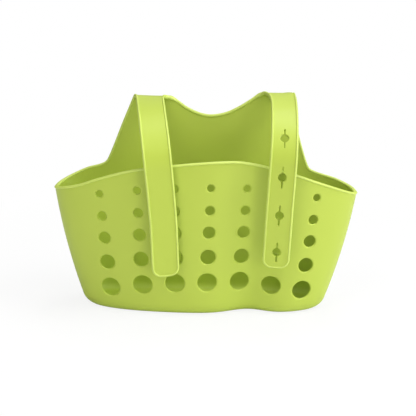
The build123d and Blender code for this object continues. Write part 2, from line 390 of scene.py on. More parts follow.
def sheet(runs, holes, step, ghosts=()):
    # Flat triangles inside the outline. runs: (line, is a moulded edge) in turn round it, anticlockwise.
    # holes: (loop, rings round it). ghosts: moulded edges past the cuts.
    # Gives the points, the triangles, the distance from the moulded edges.
    loop = np.vstack([line[:-1] for line, edge in runs])
    none = np.zeros((0, 2, 2))
    moulded = [line for line, edge in runs if edge]
    edges = np.vstack([none] + [segmentsOf(line) for line in moulded + list(ghosts)])
    cuts = np.vstack([none] + [segmentsOf(line) for line, edge in runs if not edge])
    holeEdges = np.vstack([none] + [loopSegments(hole) for hole, around in holes])
    rings = [np.zeros((0, 2))]
    for line in moulded:
        along = np.gradient(line, axis=0)
        inward = np.column_stack([-along[:, 1], along[:, 0]]) / np.hypot(*along.T)[:, None]
        for gap in ringSteps:
            ring = line + inward * gap
            clear = nearest(ring, edges) > gap * spacing["ringShare"]
            rings.append(ring[clear & (nearest(ring, cuts) > spacing["ringToCut"])])
    rings = np.vstack(rings)
    rings = rings[within(rings, loop)]
    rings = rings[nearest(rings, holeEdges) > spacing["ringToHole"]]
    inner = hexPoints(loop.min(0), loop.max(0), step)
    inner = inner[within(inner, loop)]
    clear = nearest(inner, edges) > ringSteps[-1] + step * spacing["innerSteps"]
    inner = inner[clear & (nearest(inner, cuts) > step * spacing["innerSteps"])]
    for hole, around in holes:
        outer = around[-1]
        near = apart(inner, hole.mean(0)) < apart(outer, hole.mean(0)).max() + 3 * step
        spots = inner[near]
        clear = nearest(spots, loopSegments(outer)) > step * spacing["holeSteps"]
        near[near] = ~(clear & ~within(spots, outer))
        inner = inner[~near]
    loops = [loop] + [hole for hole, around in holes] + [ring for hole, around in holes for ring in around]
    constraints = []
    start = 0
    for group in loops:
        count = len(group)
        constraints += [(start + k, start + (k + 1) % count) for k in range(count)]
        start += count
    points = [Vector(p) for p in np.vstack(loops + [rings, inner])]
    result = geometry.delaunay_2d_cdt(points, constraints, [], 0, 1e-5)
    spots = np.array([tuple(v) for v in result[0]])
    triangles = np.array([f for f in result[2] if len(f) == 3])
    centres = spots[triangles].mean(1)
    keep = within(centres, loop)
    for hole, around in holes:
        near = apart(centres, hole.mean(0)) < apart(hole, hole.mean(0)).max() + 0.01
        keep[near] &= ~within(centres[near], hole)
    used, index = np.unique(triangles[keep], return_inverse=True)
    spots, triangles = spots[used], index.reshape(-1, 3)
    a, b, c = (spots[triangles[:, k]] for k in range(3))
    turned = (b[:, 0] - a[:, 0]) * (c[:, 1] - a[:, 1]) - (b[:, 1] - a[:, 1]) * (c[:, 0] - a[:, 0]) < 0
    triangles[turned] = triangles[turned][:, ::-1]
    return spots, triangles, nearest(spots, edges)


def halfThickness(gap, half, proud, width=bead["width"]):
    # Half the thickness at this distance from a moulded edge: a rounded bead, then the plain wall
    raised = half + proud * (1 - eased(np.clip((gap - width) / bead["fade"], 0, 1)))
    nose = np.sqrt(np.clip(1 - np.clip(1 - gap / bead["round"], 0, 1) ** 2, 0, 1))
    return raised * nose


def lipThickness(gap, radius):
    # How much the face falls back towards the edge of a hole
    return radius - np.sqrt(np.clip(radius ** 2 - np.clip(radius - gap, 0, radius) ** 2, 0, None))


def borders(triangles):
    # Directed edges that have no partner
    edges = np.vstack([triangles[:, [0, 1]], triangles[:, [1, 2]], triangles[:, [2, 0]]])
    seen = {tuple(e) for e in edges}
    return [(a, b) for a, b in seen if (b, a) not in seen]


def doubled(spots, triangles, outer, inner, innerSpots=None, flip=False):
    # Two faces of a moulded sheet, closed at the edges: where both faces meet the points are shared
    index = np.arange(len(spots))
    shared = np.abs(outer - inner) < 1e-6
    innerIndex = np.where(shared, index, index + len(spots))
    faces = [tuple(t) for t in triangles] + [tuple(innerIndex[t][::-1]) for t in triangles]
    for a, b in borders(triangles):
        if not (shared[a] and shared[b]):
            faces.append(tuple(dict.fromkeys([b, a, innerIndex[a], innerIndex[b]])))
    innerSpots = spots if innerSpots is None else innerSpots
    vertices = np.vstack([np.column_stack([spots, outer]), np.column_stack([innerSpots, inner])])
    return vertices, [face[::-1] for face in faces] if flip else faces


def finished(piece, weld=2e-6, sharpAngle=50, faceOut=False):
    # Doubles merged, slivers and loose points gone, shaded smooth between its sharp edges
    piece.data.shade_smooth()
    made = bmesh.new()
    made.from_mesh(piece.data)
    bmesh.ops.remove_doubles(made, verts=made.verts, dist=weld)
    bmesh.ops.dissolve_degenerate(made, dist=1e-7, edges=made.edges)
    bmesh.ops.delete(made, geom=[v for v in made.verts if not v.link_faces], context="VERTS")
    if faceOut:
        bmesh.ops.recalc_face_normals(made, faces=made.faces)
    made.normal_update()
    for edge in made.edges:
        if len(edge.link_faces) == 2 and edge.calc_face_angle(0) > math.radians(sharpAngle):
            edge.smooth = False
    made.to_mesh(piece.data)
    made.free()
    return piece


def paintBeadHighlight(piece, gaps):
    # Painted highlight: the colour is made paler along the moulded beads, in place of the light their rounded
    # edges catch and let through the thin rubber
    share = np.clip((bead["width"] + bead["fade"] - gaps) / bead["fade"], 0, 1)
    values = np.zeros(len(piece.data.vertices), np.float32)
    values[:2 * len(gaps)] = np.tile(share, 2)
    mark = piece.data.attributes.new("beadShare", "FLOAT", "POINT")
    mark.data.foreach_set("value", values)


# Material of the whole moulding: a lime that drifts between two tones, with a painted highlight that makes
# the beads paler
lime = {
    "deep": (0.465, 0.575, 0.066, 1), "light": (0.505, 0.625, 0.082, 1), "drift": 0.5,
    # The paler bead colour and its mix are a painted highlight, not the rubber's own colour
    "bead": (0.68, 0.81, 0.19, 1), "beadHighlightMix": 0.6,
    "cloudScale": 14.0, "flowScale": 60.0, "grainScale": 900.0, "grainShare": 0.2,
    "bump": 0.12, "bumpDepth": 0.0002, "roughness": 0.44, "roughDrift": 0.12,
}


def softMaterial():
    material, w = newMaterial("limeRubber")
    place = w.add("ShaderNodeTexCoord", out="Object")

    def noise(scale, detail):
        return w.add("ShaderNodeTexNoise", None,
                     {"Vector": place, "Scale": scale, "Detail": detail, "Roughness": 0.5})

    def mixed(factor, first, second):
        return w.add("ShaderNodeMix", {"data_type": "RGBA"}, {"Factor": factor, "A": first, "B": second},
                     "Result")

    cloud = noise(lime["cloudScale"], 3.0)
    grain = noise(lime["grainScale"], 1.0)
    flow = noise(lime["flowScale"], 2.0)
    shade = mixed((cloud - 0.5) * lime["drift"] + 0.5, lime["deep"], lime["light"])
    onBeadHighlight = w.add("ShaderNodeAttribute", {"attribute_name": "beadShare"}, None, "Fac")
    # Painted highlight: the colour is mixed towards a paler lime along the beads
    shade = mixed(onBeadHighlight * lime["beadHighlightMix"], shade, lime["bead"])
    relief = grain * lime["grainShare"] + flow * (1 - lime["grainShare"])
    bump = w.add("ShaderNodeBump", None,
                 {"Strength": lime["bump"], "Distance": lime["bumpDepth"], "Height": relief})
    rough = (flow - 0.5) * lime["roughDrift"] + lime["roughness"]
    body = w.add("ShaderNodeBsdfPrincipled", None,
                 {"Base Color": shade, "Roughness": rough, "Normal": bump, "IOR": 1.45,
                  "Specular IOR Level": 0.45})
    w.add("ShaderNodeOutputMaterial", None, {"Surface": body})
    return material


rubber = softMaterial()
print("material made")


# Perforations of the front wall: columns that fan out upwards and bow, rows that sag towards the ends
perforation = {
    "Columns": 7.0,
    "Rows": 5.0,
    "Pitch": 21.05,
    "Centre": 1.45,
    "Fan": 0.102,
    "Sag": 0.7,
    "Base bow": 0.5,
    "Top bow": 1.65,
    "Bow power": 4.0,
}
rowHeights = [23.9, 41.6, 58.3, 73.0, 87.7]
rowDiameters = [12.7, 10.0, 8.05, 6.2, 4.8]
holeCorners = 40
# Edges of the holes: their round and rings, and how far off the inner face is drawn along with the hole
lip = {"round": 0.95, "steps": [0.04, 0.12, 0.25, 0.42, 0.65, 0.95, 1.4], "straight": 0.3, "slant": 3.6,
       "reach": 4.0, "search": 6.0}


def perforationTree():
    w, start = newTree("perforations", perforation, {"Material": "Material"})
    size = {label: w.port(start, label) for label in perforation}
    index = w.add("GeometryNodeInputIndex")
    row = index.maths("MODULO", size["Rows"])
    side = (size["Columns"] - 1) / 2
    column = (index / size["Rows"]).maths("FLOOR") - side

    def ofRow(values):
        return w.add("GeometryNodeIndexSwitch", {"data_type": "FLOAT", "items": len(values)},
                     {0: row, **{k + 1: value for k, value in enumerate(values)}})

    height, diameter = ofRow(rowHeights), ofRow(rowDiameters)
    share = (height - rowHeights[0]) / (rowHeights[-1] - rowHeights[0])
    spread = size["Fan"] * share + 1
    bow = size["Base bow"] + (size["Top bow"] - size["Base bow"]) * share
    x = size["Centre"] + column * size["Pitch"] * spread + bow * (1 - abs(column / side) ** size["Bow power"])
    z = height - size["Sag"] * column * column
    spot = w.add("ShaderNodeCombineXYZ", None, {0: x, 2: z})
    points = w.add("GeometryNodePoints", None, {"Count": size["Columns"] * size["Rows"], "Position": spot})
    ring = w.add("GeometryNodeMeshCircle", None, {"Vertices": holeCorners, "Radius": 0.5})
    scale = w.add("ShaderNodeCombineXYZ", None, {0: diameter, 1: diameter, 2: diameter})
    rings = w.add("GeometryNodeInstanceOnPoints", None,
                  {"Points": points, "Instance": ring, "Rotation": (math.pi / 2, 0, 0), "Scale": scale})
    return w.close(start, shaped=rings)


patternPiece = newPiece("perforationPattern", [], [])
runThrough(perforationTree(), patternPiece, {"Material": rubber})
patternPoints = np.array([tuple(v.co) for v in patternPiece.data.vertices])
holeLoops = patternPoints.reshape(-1, holeCorners, 3)[:, :, [0, 2]]
bpy.data.objects.remove(patternPiece)
print("perforation pattern:", len(holeLoops), "holes")


def layHole(loop):
    # The hole's circle as seen from the front, as a loop of the flat sheet, with its rings
    centre = loop.mean(0)
    radius = apart(loop, centre).mean()
    made = []
    for gap in [0] + lip["steps"]:
        wide = centre + (loop - centre) * (radius + gap) / radius
        made.append(np.column_stack([lengthOf(turnOf(wide[:, 0], wide[:, 1], -1)), wide[:, 1]]))
    return made[0], made[1:]


def holeGaps(spots, holes):
    # Distance of every point from the nearest hole's edge, where one is near
    best = np.full(len(spots), farOff)
    for hole, around in holes:
        near = apart(spots, hole.mean(0)) < apart(hole, hole.mean(0)).max() + lip["search"]
        best[near] = np.minimum(best[near], nearest(spots[near], loopSegments(hole)))
    return best


def drawnBack(spots, gaps):
    # Where the inner face's points go so that the holes' walls run straight from front to back
    height = spots[:, 1]
    x, _ = outline(np.interp(spots[:, 0], refLengths, refTurns), height)
    step = 0.2
    across = (frontFace(x + step, height) - frontFace(x - step, height)) / (2 * step)
    upward = (frontFace(x, height + step) - frontFace(x, height - step)) / (2 * step)
    steep = np.sqrt(across ** 2 + upward ** 2 + 1)
    weight = wall / steep * (1 - eased(np.clip((gaps - lip["straight"]) / lip["slant"], 0, 1)))
    near = gaps < lip["reach"]
    moved = spots.copy()
    newX, newHeight = x + across * weight, height + upward * weight
    moved[near, 0] = lengthOf(turnOf(newX, newHeight, -1))[near]
    moved[near, 1] = newHeight[near]
    return moved


def cutLine(start, end, atStart=True, atEnd=True):
    # Points across a cut, close together beside a moulded edge
    start, end = np.array(start, float), np.array(end, float)
    length = np.hypot(*(end - start))
    low = ringSteps[-1] if atStart else 0
    high = length - (ringSteps[-1] if atEnd else 0)
    middle = list(np.linspace(low, high, max(2, round((high - low) / steps["cut"]) + 1)))
    at = [0] + ringSteps[:-1] + middle if atStart else [0] + middle[1:]
    at = at + [length - gap for gap in ringSteps[-2::-1]] if atEnd else at[:-1]
    return start + np.outer(np.array(at + [length]) / length, end - start)


def flatLine(points, side):
    # A line of the rim laid flat: length round the tub, height
    line = smoothLine(points, steps["trace"])
    turns = turnOf(line[:, 0], line[:, 1], side)
    return evenLine(np.column_stack([lengthOf(turns), line[:, 1]]), steps["line"])


def tubWall():
    # The tub's wall laid flat, closed at the left tip by a column
    total = refLengths[-1]
    tip = rim["tip"]
    front, left, wave, right = (flatLine(rim[name], -1 if name == "front" else 1) for name in
                                ("front", "left", "wave", "right"))
    front[0], front[-1] = (0, tip), (lengthOf(0.0), tip)
    left[0], right[-1] = (total, tip), (lengthOf(0.0), tip)
    leftFoot, rightFoot = (wave[0][0], folds["left"]["seam"]), (wave[-1][0], folds["right"]["seam"])
    floorEdge = evenLine([(0, bottom), (total, bottom)], steps["floorEdge"])
    top = tip - ringSteps[-1] - 0.1
    up = np.linspace(bottom, top, round((top - bottom) / steps["column"]) + 1)
    column = np.concatenate([up[:-1], tip - np.array(ringSteps[::-1]), [tip]])
    rightColumn = np.column_stack([np.full(len(column), total), column])
    leftColumn = np.column_stack([np.zeros(len(column)), column])
    # Anticlockwise: floor edge, up the closing column, left rim, seams and wave, right rim, front rim
    runs = [(floorEdge, False), (rightColumn, False),
            (left, True), (cutLine(left[-1], leftFoot, True, False), False),
            (evenLine([leftFoot, wave[0]], steps["side"]), False), (wave, True),
            (evenLine([wave[-1], rightFoot], steps["side"]), False),
            (cutLine(rightFoot, right[0], False, True), False),
            (right, True), (front[::-1], True), (leftColumn[::-1], False)]
    holes = [layHole(loop) for loop in holeLoops]
    spots, triangles, gaps = sheet(runs, holes, steps["wall"])
    return spots, triangles, gaps, holes, nearest(spots, segmentsOf(wave))


def faceTree():
    # Where a place of the flat wall lies in space: turn round the tub, rise up the wall
    w, start = newTree("tubFace", {"Turn": 0.0, "Rise": 0.0, **tub}, {}, "Vector")
    size = {label: w.port(start, label) for label in ["Turn", "Rise"] + list(tub)}
    turn, rise, radius = size["Turn"], size["Rise"], size["Base radius"]
    curl = ((radius - rise) / radius).maths("MAXIMUM", 0.0)
    height = radius * (1 - curl.maths("SINE")) + (rise - radius).maths("MAXIMUM", 0.0)
    less = radius * (1 - curl.maths("COSINE"))
    share = 1 - (1 - height / size["Full height"]).maths("MAXIMUM", 0.0) ** size["Flare power"]
    half, frontDepth, backDepth = (
        size["Base " + way] + (size["Top " + way] - size["Base " + way]) * share - less
        for way in tubWays)
    front = turn.maths("SINE") < 0.0
    depth = backDepth + (frontDepth - backDepth) * front
    power = size["Back power"] + (size["Front power"] - size["Back power"]) * front
    cosine, sine = turn.maths("COSINE"), turn.maths("SINE")
    reach = (abs(cosine) ** power + abs(sine) ** power) ** (-1 / power)
    x = half * reach * cosine
    y = depth * reach * sine
    dents = []
    for kind in ("Crease", "Side crease"):
        base, top = size[kind + " base depth"], size[kind + " top depth"]
        deep = base + (top - base) * height / size["Full height"]
        off = x - size[kind + " place"]
        leftWidth, rightWidth = size[kind + " left width"], size[kind + " right width"]
        off = off / (rightWidth + (leftWidth - rightWidth) * (off < 0.0))
        dents.append(deep * (0 - off * off).maths("EXPONENT"))
    y = y + (dents[0] + dents[1]) * front * abs(y) / depth
    place = w.add("ShaderNodeCombineXYZ", None, {0: x, 1: y, 2: height})
    w.add("NodeGroupOutput", None, {0: place})
    return w.tree


def tubTree():
    # Each point goes to its place on the face, then out along the normal by its own offset
    face = faceTree()
    w, start = newTree("tubWall", tub, {"Geometry": "Geometry", "Material": "Material"})
    sizes = {label: w.port(start, label) for label in tub}
    flat = w.add("ShaderNodeSeparateXYZ", None, {0: w.add("GeometryNodeInputPosition")})
    turn, rise, offset = w.port(flat, "X"), w.port(flat, "Y"), w.port(flat, "Z")

    def at(aside, up):
        place = {"Turn": turn + aside, "Rise": rise + up}
        return w.add("GeometryNodeGroup", {"node_tree": face}, {**place, **sizes})

    turnStep, riseStep = 0.004, 0.3
    aside = w.vector("SUBTRACT", at(turnStep, 0.0), at(-turnStep, 0.0))
    upward = w.vector("SUBTRACT", at(0.0, riseStep), at(0.0, -riseStep))
    outward = w.vector("NORMALIZE", w.vector("CROSS_PRODUCT", aside, upward))
    place = w.scaled(w.vector("ADD", at(0.0, 0.0), w.scaled(outward, offset)), mm)
    return w.close(start, place)


def earShare(s, seamAt):
    # From the wall's own place at the seam to the strap's path before the fold
    return np.clip((s - seamAt) / (earEnd - seamAt), 0, 1)


def crestShare(s):
    # Where along the band the fold's crest is pulled up or down
    grows = np.clip((s - crestRun["from"]) / crestRun["grows"], 0, 1)
    return eased(grows * np.clip((crestRun["until"] - s) / crestRun["shrinks"], 0, 1))


def bentPanel(places):
    # Beside each strap the panel's top bends forward with the fold, ever less away from it
    moved = places.copy()
    for fold in folds.values():
        x, y, z = moved.T
        inwards = (x - fold["x"]) * fold["toward"]
        away = np.clip(inwards / panelBend["spread"], 0, 1)
        bend = (1 - eased(away))[:, None]
        centre = backFace(x, folds["left"]["seam"]) - wall / 2
        s = fold["seamAt"] + z - fold["seam"]
        turn = np.clip((z - fold["start"]) / foldRound, 0, math.pi / 2)
        lean = (centre - fold["earY"]) * (1 - eased(earShare(s, fold["seamAt"])))
        off = y - centre + lean + fold["rise"] * crestShare(s)
        newY = fold["earY"] - foldRound * (1 - np.cos(turn)) + off * np.cos(turn)
        newZ = np.minimum(z, fold["start"]) + (foldRound + off) * np.sin(turn)
        bent = np.column_stack([x, newY, newZ])
        beside = (away < 1) & (inwards > -panelBend["past"])
        inside = beside & (z > fold["seam"]) & (y > panelBend["behind"])
        moved[inside] = (moved * (1 - bend) + bent * bend)[inside]
    return moved


def shapedWall():
    # The wall's two faces in place. The closing column and the floor's edge have no strips between the faces
    spots, triangles, wallGaps, holes, waveGaps = tubWall()
    clear = holeGaps(spots, holes)
    fall = lipThickness(clear, lip["round"])
    outer = halfThickness(wallGaps, wall / 2, bead["proud"]) - wall / 2 - fall
    offWave = np.clip((waveGaps - wallGaps) / waveBead["fade"], 0, 1)
    plain = halfThickness(wallGaps, wall / 2, bead["back"])
    raised = halfThickness(wallGaps, wall / 2, waveBead["back"], waveBead["width"])
    inner = -(raised + (plain - raised) * offWave) - wall / 2 + fall
    front, back = (np.column_stack([np.interp(flat[:, 0], refLengths, refTurns), flat[:, 1]])
                   for flat in (spots, drawnBack(spots, clear)))
    vertices, faces = doubled(front, triangles, outer, inner, back)
    count = len(spots)

    def openEdge(face):
        if len(face) < 3 or min(face) >= count or max(face) < count:
            return False
        flat = vertices[list(face)]
        atColumn = np.all(np.abs(np.abs(flat[:, 0]) - math.pi) < 1e-6) and np.ptp(flat[:, 0]) < 1
        return atColumn or np.all(np.abs(flat[:, 1] - bottom) < 1e-6)

    piece = newPiece("basketShell", vertices, [face for face in faces if not openEdge(face)], rubber)
    runThrough(tubTree(), piece, {"Material": rubber})
    mesh = piece.data
    mapped = bentPanel(np.array([tuple(v.co) for v in mesh.vertices]) / mm)
    faces = [tuple(p.vertices) for p in mesh.polygons]
    bpy.data.objects.remove(piece)
    bpy.data.meshes.remove(mesh)
    return spots, wallGaps, mapped, faces


floorHoles = {"count": 6, "pitch": 20.0, "diameter": 6.0, "corners": 32}


def floorSheet(edge):
    angles = np.linspace(0, 2 * math.pi, floorHoles["corners"], endpoint=False)
    spokes = np.column_stack([np.cos(angles), np.sin(angles)])
    drains = []
    for k in range(floorHoles["count"]):
        x = (k - (floorHoles["count"] - 1) / 2) * floorHoles["pitch"]
        loops = [spokes * (floorHoles["diameter"] / 2 + gap) + [x, 0] for gap in [0] + lip["steps"]]
        drains.append((loops[0], loops[1:]))
    spots, triangles = sheet([(np.vstack([edge, edge[:1]]), False)], drains, steps["floor"])[:2]
    fall = lipThickness(holeGaps(spots, drains), lip["round"])
    return spots, *doubled(spots, triangles, wall - fall, fall)


def basketPiece():
    spots, wallGaps, mapped, wallFaces = shapedWall()
    # The floor's edge is the wall's lower edge, point for point on both faces
    lowest = np.where(np.abs(spots[:, 1] - bottom) < 1e-6)[0]
    lowest = lowest[np.argsort(spots[lowest, 0])][:-1]
    edge = mapped[lowest][:, :2]
    floorSpots, vertices, floorFaces = floorSheet(edge)
    count = len(floorSpots)
    gaps = np.hypot(*(floorSpots[:, None] - edge[None]).transpose(2, 0, 1))
    onEdge = gaps.min(1) < 1e-3
    partner = lowest[gaps.argmin(1)]
    vertices[:count][onEdge] = mapped[partner + len(spots)][onEdge]
    vertices[count:][onEdge] = mapped[partner][onEdge]
    joined = set(np.where(onEdge)[0]) | set(np.where(onEdge)[0] + count)
    floorFaces = [f for f in floorFaces if not (len(f) == 4 and all(k in joined for k in f))]
    faces = wallFaces + [tuple(k + len(mapped) for k in f) for f in floorFaces]
    piece = newPiece("basketShell", np.vstack([mapped, vertices]) * mm, faces, rubber)
    paintBeadHighlight(piece, wallGaps)
    return finished(piece, 4e-6)


basket = basketPiece()
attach(basket, "basket")
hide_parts("basket")
print("basket shell:", len(basket.data.polygons), "faces")


# Straps: flat bands wrapped along a path that folds over the ear, arches forward and hangs. Edges are
# (aside, along) with open ends, crest is (aside, lift) at the fold and sway is (along, aside)
straps = {
    "stud_strap": {
        "side": "left", "foldX": -40.1, "reach": 65.7, "drop": 38.3, "hang": 70.8, "setBack": 2.3,
        "leftEdge": [(-13.2, None), (-11.3, earEnd), (-10.2, 0.5), (-9.65, 6.0), (-9.2, 35.0), (-9.0, 80.0),
                     (-8.9, 110.0), (-8.85, None)],
        "rightEdge": [(14.5, None), (13.0, -0.7), (11.8, 0.1), (10.9, 1.4), (10.3, 3.6), (9.9, 7.0),
                      (9.55, 14.0), (9.15, 35.0), (9.0, 80.0), (8.9, 110.0), (8.85, None)],
        "tabSide": 14.5, "buttonHoles": 0,
        "crest": [(-10.5, 0.5), (-6.5, 0.22), (-2, 0.1), (2, 0.0), (6, -0.02), (10, 0.1),
                  (14.5, folds["left"]["rise"])],
        "sway": [(0, 0), (20, -0.1), (50, -0.25), (70, -0.15), (85, 0.1), (97, 0.4), (118, 0.65), (130, 0.4),
                 (142, 0.0), (150, -0.15)],
    },
    "buttonhole_strap": {
        "side": "right", "foldX": 51.4, "reach": 66.0, "drop": 37.7, "hang": 67.8, "setBack": 5.7,
        "leftEdge": [(-15.0, None), (-13.7, -0.2), (-12.6, 1.2), (-11.5, 4.0), (-10.3, 9.5), (-9.45, 16.0),
                     (-8.8, 24.0), (-8.5, 40.0), (-8.55, 90.0), (-8.65, None)],
        "rightEdge": [(9.2, None), (9.0, earEnd), (8.7, 0.5), (8.6, 8.0), (8.7, 36.0), (8.7, None)],
        "tabSide": -15.0, "buttonHoles": 4,
        "crest": [(-15, folds["right"]["rise"]), (-12.7, 0.5), (-11, 0.3), (-9.5, 0.1), (-7, 0.05), (0, 0.15),
                  (3.5, 0.6), (6, 0.6), (7.5, 0.2), (9, -0.6)],
        "sway": [(0, 0), (20, 0.15), (35, 0.25), (52, 0.4), (68, 0.6), (85, 0.5), (97, 0.35), (109, 0.2),
                 (150, 0.12)],
    },
}
links = ["fold", "root", "upper", "middle", "lower", "tip"]
strapHalf = 1.0
taper = 26.0  # length over which a band turns from the panel's line to its own
tipRound = 6.2
bendReach = 5.3
foldReach = 1.7
cutBefore = 5.6
earRun = 8  # mm of the path below the fold
archLead = 0.6
hangPower = 1.7
edgeOverlap = 4  # mm of the next links' edges that shape this one's beads
button = {"pitch": 24.7, "fromTip": 11.3, "diameter": 5.5, "slit": 13.4, "slitWidth": 0.9, "round": 0.35,
          "rings": [0.05, 0.12, 0.22, 0.35, 0.8]}
# Snap stud under the end of the left strap, and the sink mark over it
stud = {"stem": 2.5, "stemLength": 2.4, "head": 3.7, "headThick": 1.5, "fromTip": 9.8, "flare": 0.6,
        "sunk": 0.3, "chamfer": 0.25, "crown": 0.16, "sink": 0.14, "sinkRadius": 2.4}


def jointOf(prefix, child):
    return next(j for j in frame["joints"] if j["child"] == prefix + "_" + child)


def unit(direction):
    return direction / np.linalg.norm(direction)


def strapPath(prefix, strap):
    # Up the ear, round the fold, then an arch and a hang in the plane that the hinges stand square to
    fold = folds[strap["side"]]
    x, y, radius = strap["foldX"], fold["earY"], foldRound
    start = np.array(jointOf(prefix, "root")["pos_m"]) / mm
    across = -np.array(jointOf(prefix, "tip")["axis"])
    forward = unit(np.cross(across, [0, 0, 1]))
    up = unit(np.cross(across, -forward))
    points = [(x, y, z) for z in np.linspace(fold["start"] - earRun, fold["start"], earRun + 1)]
    for turn in np.linspace(0, math.pi / 2, 16)[1:]:
        points.append((x, y - radius + radius * math.cos(turn), fold["start"] + radius * math.sin(turn)))
    first = math.asin((start[1] - (y - radius) + archLead) / strap["reach"])
    for turn in np.linspace(first, math.pi / 2, 90):
        ahead, rise = strap["reach"] * math.sin(turn), strap["drop"] * (math.cos(turn) - 1)
        points.append(tuple(start + forward * ahead + up * rise))
    for share in np.linspace(0, 1, 60)[1:]:
        ahead = strap["reach"] - strap["setBack"] * share ** hangPower
        points.append(tuple(start + forward * ahead - up * (strap["drop"] + strap["hang"] * share)))
    points = np.array(points)
    lengths = lengthsOf(points)
    even = np.linspace(0, lengths[-1], round(lengths[-1] / steps["path"]) + 1)
    points = np.column_stack([np.interp(even, lengths, points[:, k]) for k in range(3)])
    for _ in range(3):
        points[1:-1] = points[1:-1] * 0.5 + (points[:-2] + points[2:]) * 0.25
    lengths = lengthsOf(points)
    foldAt = lengths[np.linalg.norm(points - start, axis=1).argmin()]
    return points, lengths - foldAt, across


def pathCurve(name, points):
    data = bpy.data.curves.new(name, "CURVE")
    data.dimensions = "3D"
    spline = data.splines.new("POLY")
    spline.points.add(len(points) - 1)
    for spot, place in zip(spline.points, points):
        spot.co = (*place, 1)
    return linked(name, data)


def wrapTree():
    # The flat band follows the path: x goes aside, y along and z off the face
    w, start = newTree("strapWrap", {"Fold length": 0.0, "Taper": taper},
                       {"Geometry": "Geometry", "Path": "Object", "Across": "Vector", "Material": "Material"})
    flat = w.add("ShaderNodeSeparateXYZ", None, {0: w.add("GeometryNodeInputPosition")})
    aside, along, offset = w.port(flat, "X"), w.port(flat, "Y"), w.port(flat, "Z")
    path = w.add("GeometryNodeObjectInfo", None, {"Object": w.port(start, "Path")}, "Geometry")
    spot = w.add("GeometryNodeSampleCurve", {"mode": "LENGTH"},
                 {"Curves": path, "Length": along + w.port(start, "Fold length")}, "Position")
    run = w.port(spot, "Tangent")
    share = (along / w.port(start, "Taper")).clamped()
    lean = w.add("ShaderNodeMix", {"data_type": "VECTOR"},
                 {"Factor": share, 4: (1, 0, 0), 5: w.port(start, "Across")}, 1)
    across = w.vector("NORMALIZE", lean)
    drift = w.vector("DOT_PRODUCT", run, across, out="Value")
    square = w.vector("SUBTRACT", run, w.scaled(across, drift))
    face = w.vector("NORMALIZE", w.vector("CROSS_PRODUCT", square, across))
    place = w.vector("ADD", w.vector("ADD", spot, w.scaled(across, aside)), w.scaled(face, offset))
    return w.close(start, w.scaled(place, mm))


strapWrap = wrapTree()


def edgeLine(knots, first, last):
    # Edge of the flat band as (aside, along) points. Its open ends lie at first and last
    ends = {0: first, len(knots) - 1: last}
    return smoothLine([(aside, ends.get(k, along)) for k, (aside, along) in enumerate(knots)], steps["trace"])


def partOf(line, low, high):
    # The stretch of an edge between two places along the band
    inside = line[(line[:, 1] > low + 1e-6) & (line[:, 1] < high - 1e-6)]
    ends = [(np.interp(at, line[:, 1], line[:, 0]), at) for at in (low, high)]
    return evenLine(np.vstack([ends[:1], inside, ends[1:]]), steps["line"])


def buttonHole(centre):
    # A round hole with a slit that runs up and down from it, and the rings round both
    def loop(gap):
        r, h, l = button["diameter"] / 2 + gap, button["slitWidth"] / 2 + gap, button["slit"] / 2 + gap
        corner = math.asin(min(1, h / r))
        turns = np.linspace(-math.pi / 2 + corner, math.pi / 2 - corner, 18)
        right = [(r * math.cos(a), r * math.sin(a)) for a in turns]
        blunt = h * 0.8  # the slit's end is a little flat
        top = [(h, y) for y in np.linspace(r * math.cos(corner), l - blunt, 7)[1:]]
        end = [(h * math.cos(a), l - blunt + blunt * math.sin(a)) for a in np.linspace(0, math.pi, 7)[1:-1]]
        half = right + top + end + [(-h, y) for x, y in top[::-1]]
        return np.array(half + [(-x, -y) for x, y in half])

    return loop(0) + [0, centre], [loop(gap) + [0, centre] for gap in button["rings"]]


def tipOutline(strap, edges, low, end):
    # The band's last part, with its rounded end
    left, right = (partOf(edge, low, end - tipRound) for edge in edges)
    half = strap["rightEdge"][-1][0]
    corner = [(half - tipRound + tipRound * math.cos(a), end - tipRound + tipRound * math.sin(a))
              for a in np.linspace(0, math.pi / 2, 14)]
    whole = np.vstack([right, corner[1:], [(-x, y) for x, y in corner[::-1]], left[::-1][1:]])
    whole = evenLine(whole, steps["side"])
    runs = [(cutLine(whole[-1], whole[0]), False), (whole, True)]
    return runs, [partOf(edge, low - edgeOverlap, low) for edge in edges]


def partOutline(strap, edges, k, low, high, flareAt):
    # Any other part. Below the flare the side by the panel is a cut, not an edge
    leftEdge, rightEdge = edges
    tabRight = strap["tabSide"] > 0
    if k == 0:
        cut = evenLine([(strap["tabSide"], low), (strap["tabSide"], high)], steps["side"])
        left = partOf(leftEdge, low, high) if tabRight else cut
        right = cut if tabRight else partOf(rightEdge, low, high)
        kinds = lowKinds = (tabRight, not tabRight)
    else:
        lowLeft, lowRight = (low, max(low, flareAt)) if tabRight else (max(low, flareAt), low)
        left, right = partOf(leftEdge, lowLeft, high), partOf(rightEdge, lowRight, high)
        kinds = (True, True)
        lowKinds = (lowLeft == low, lowRight == low)
    below = cutLine((left[0][0], low), (right[0][0], low), *lowKinds)
    above = cutLine(left[-1], right[-1], *kinds)[::-1]
    runs = [(below, False), (right, kinds[1]), (above, False), (left[::-1], kinds[0])]
    if right[0][1] > low:
        runs.insert(1, (evenLine([(right[0][0], low), right[0]], 0.5), False))
    if left[0][1] > low:
        runs.append((evenLine([left[0], (left[0][0], low)], 0.5), False))
    ghosts = [edge[(edge[:, 1] > low - edgeOverlap) & (edge[:, 1] < high + edgeOverlap)] for edge in edges]
    if k < 2:
        ghosts.append(np.array([(strap["tabSide"], flareAt), (strap["tabSide"] * 1.3, flareAt - 1)]))
    return runs, ghosts


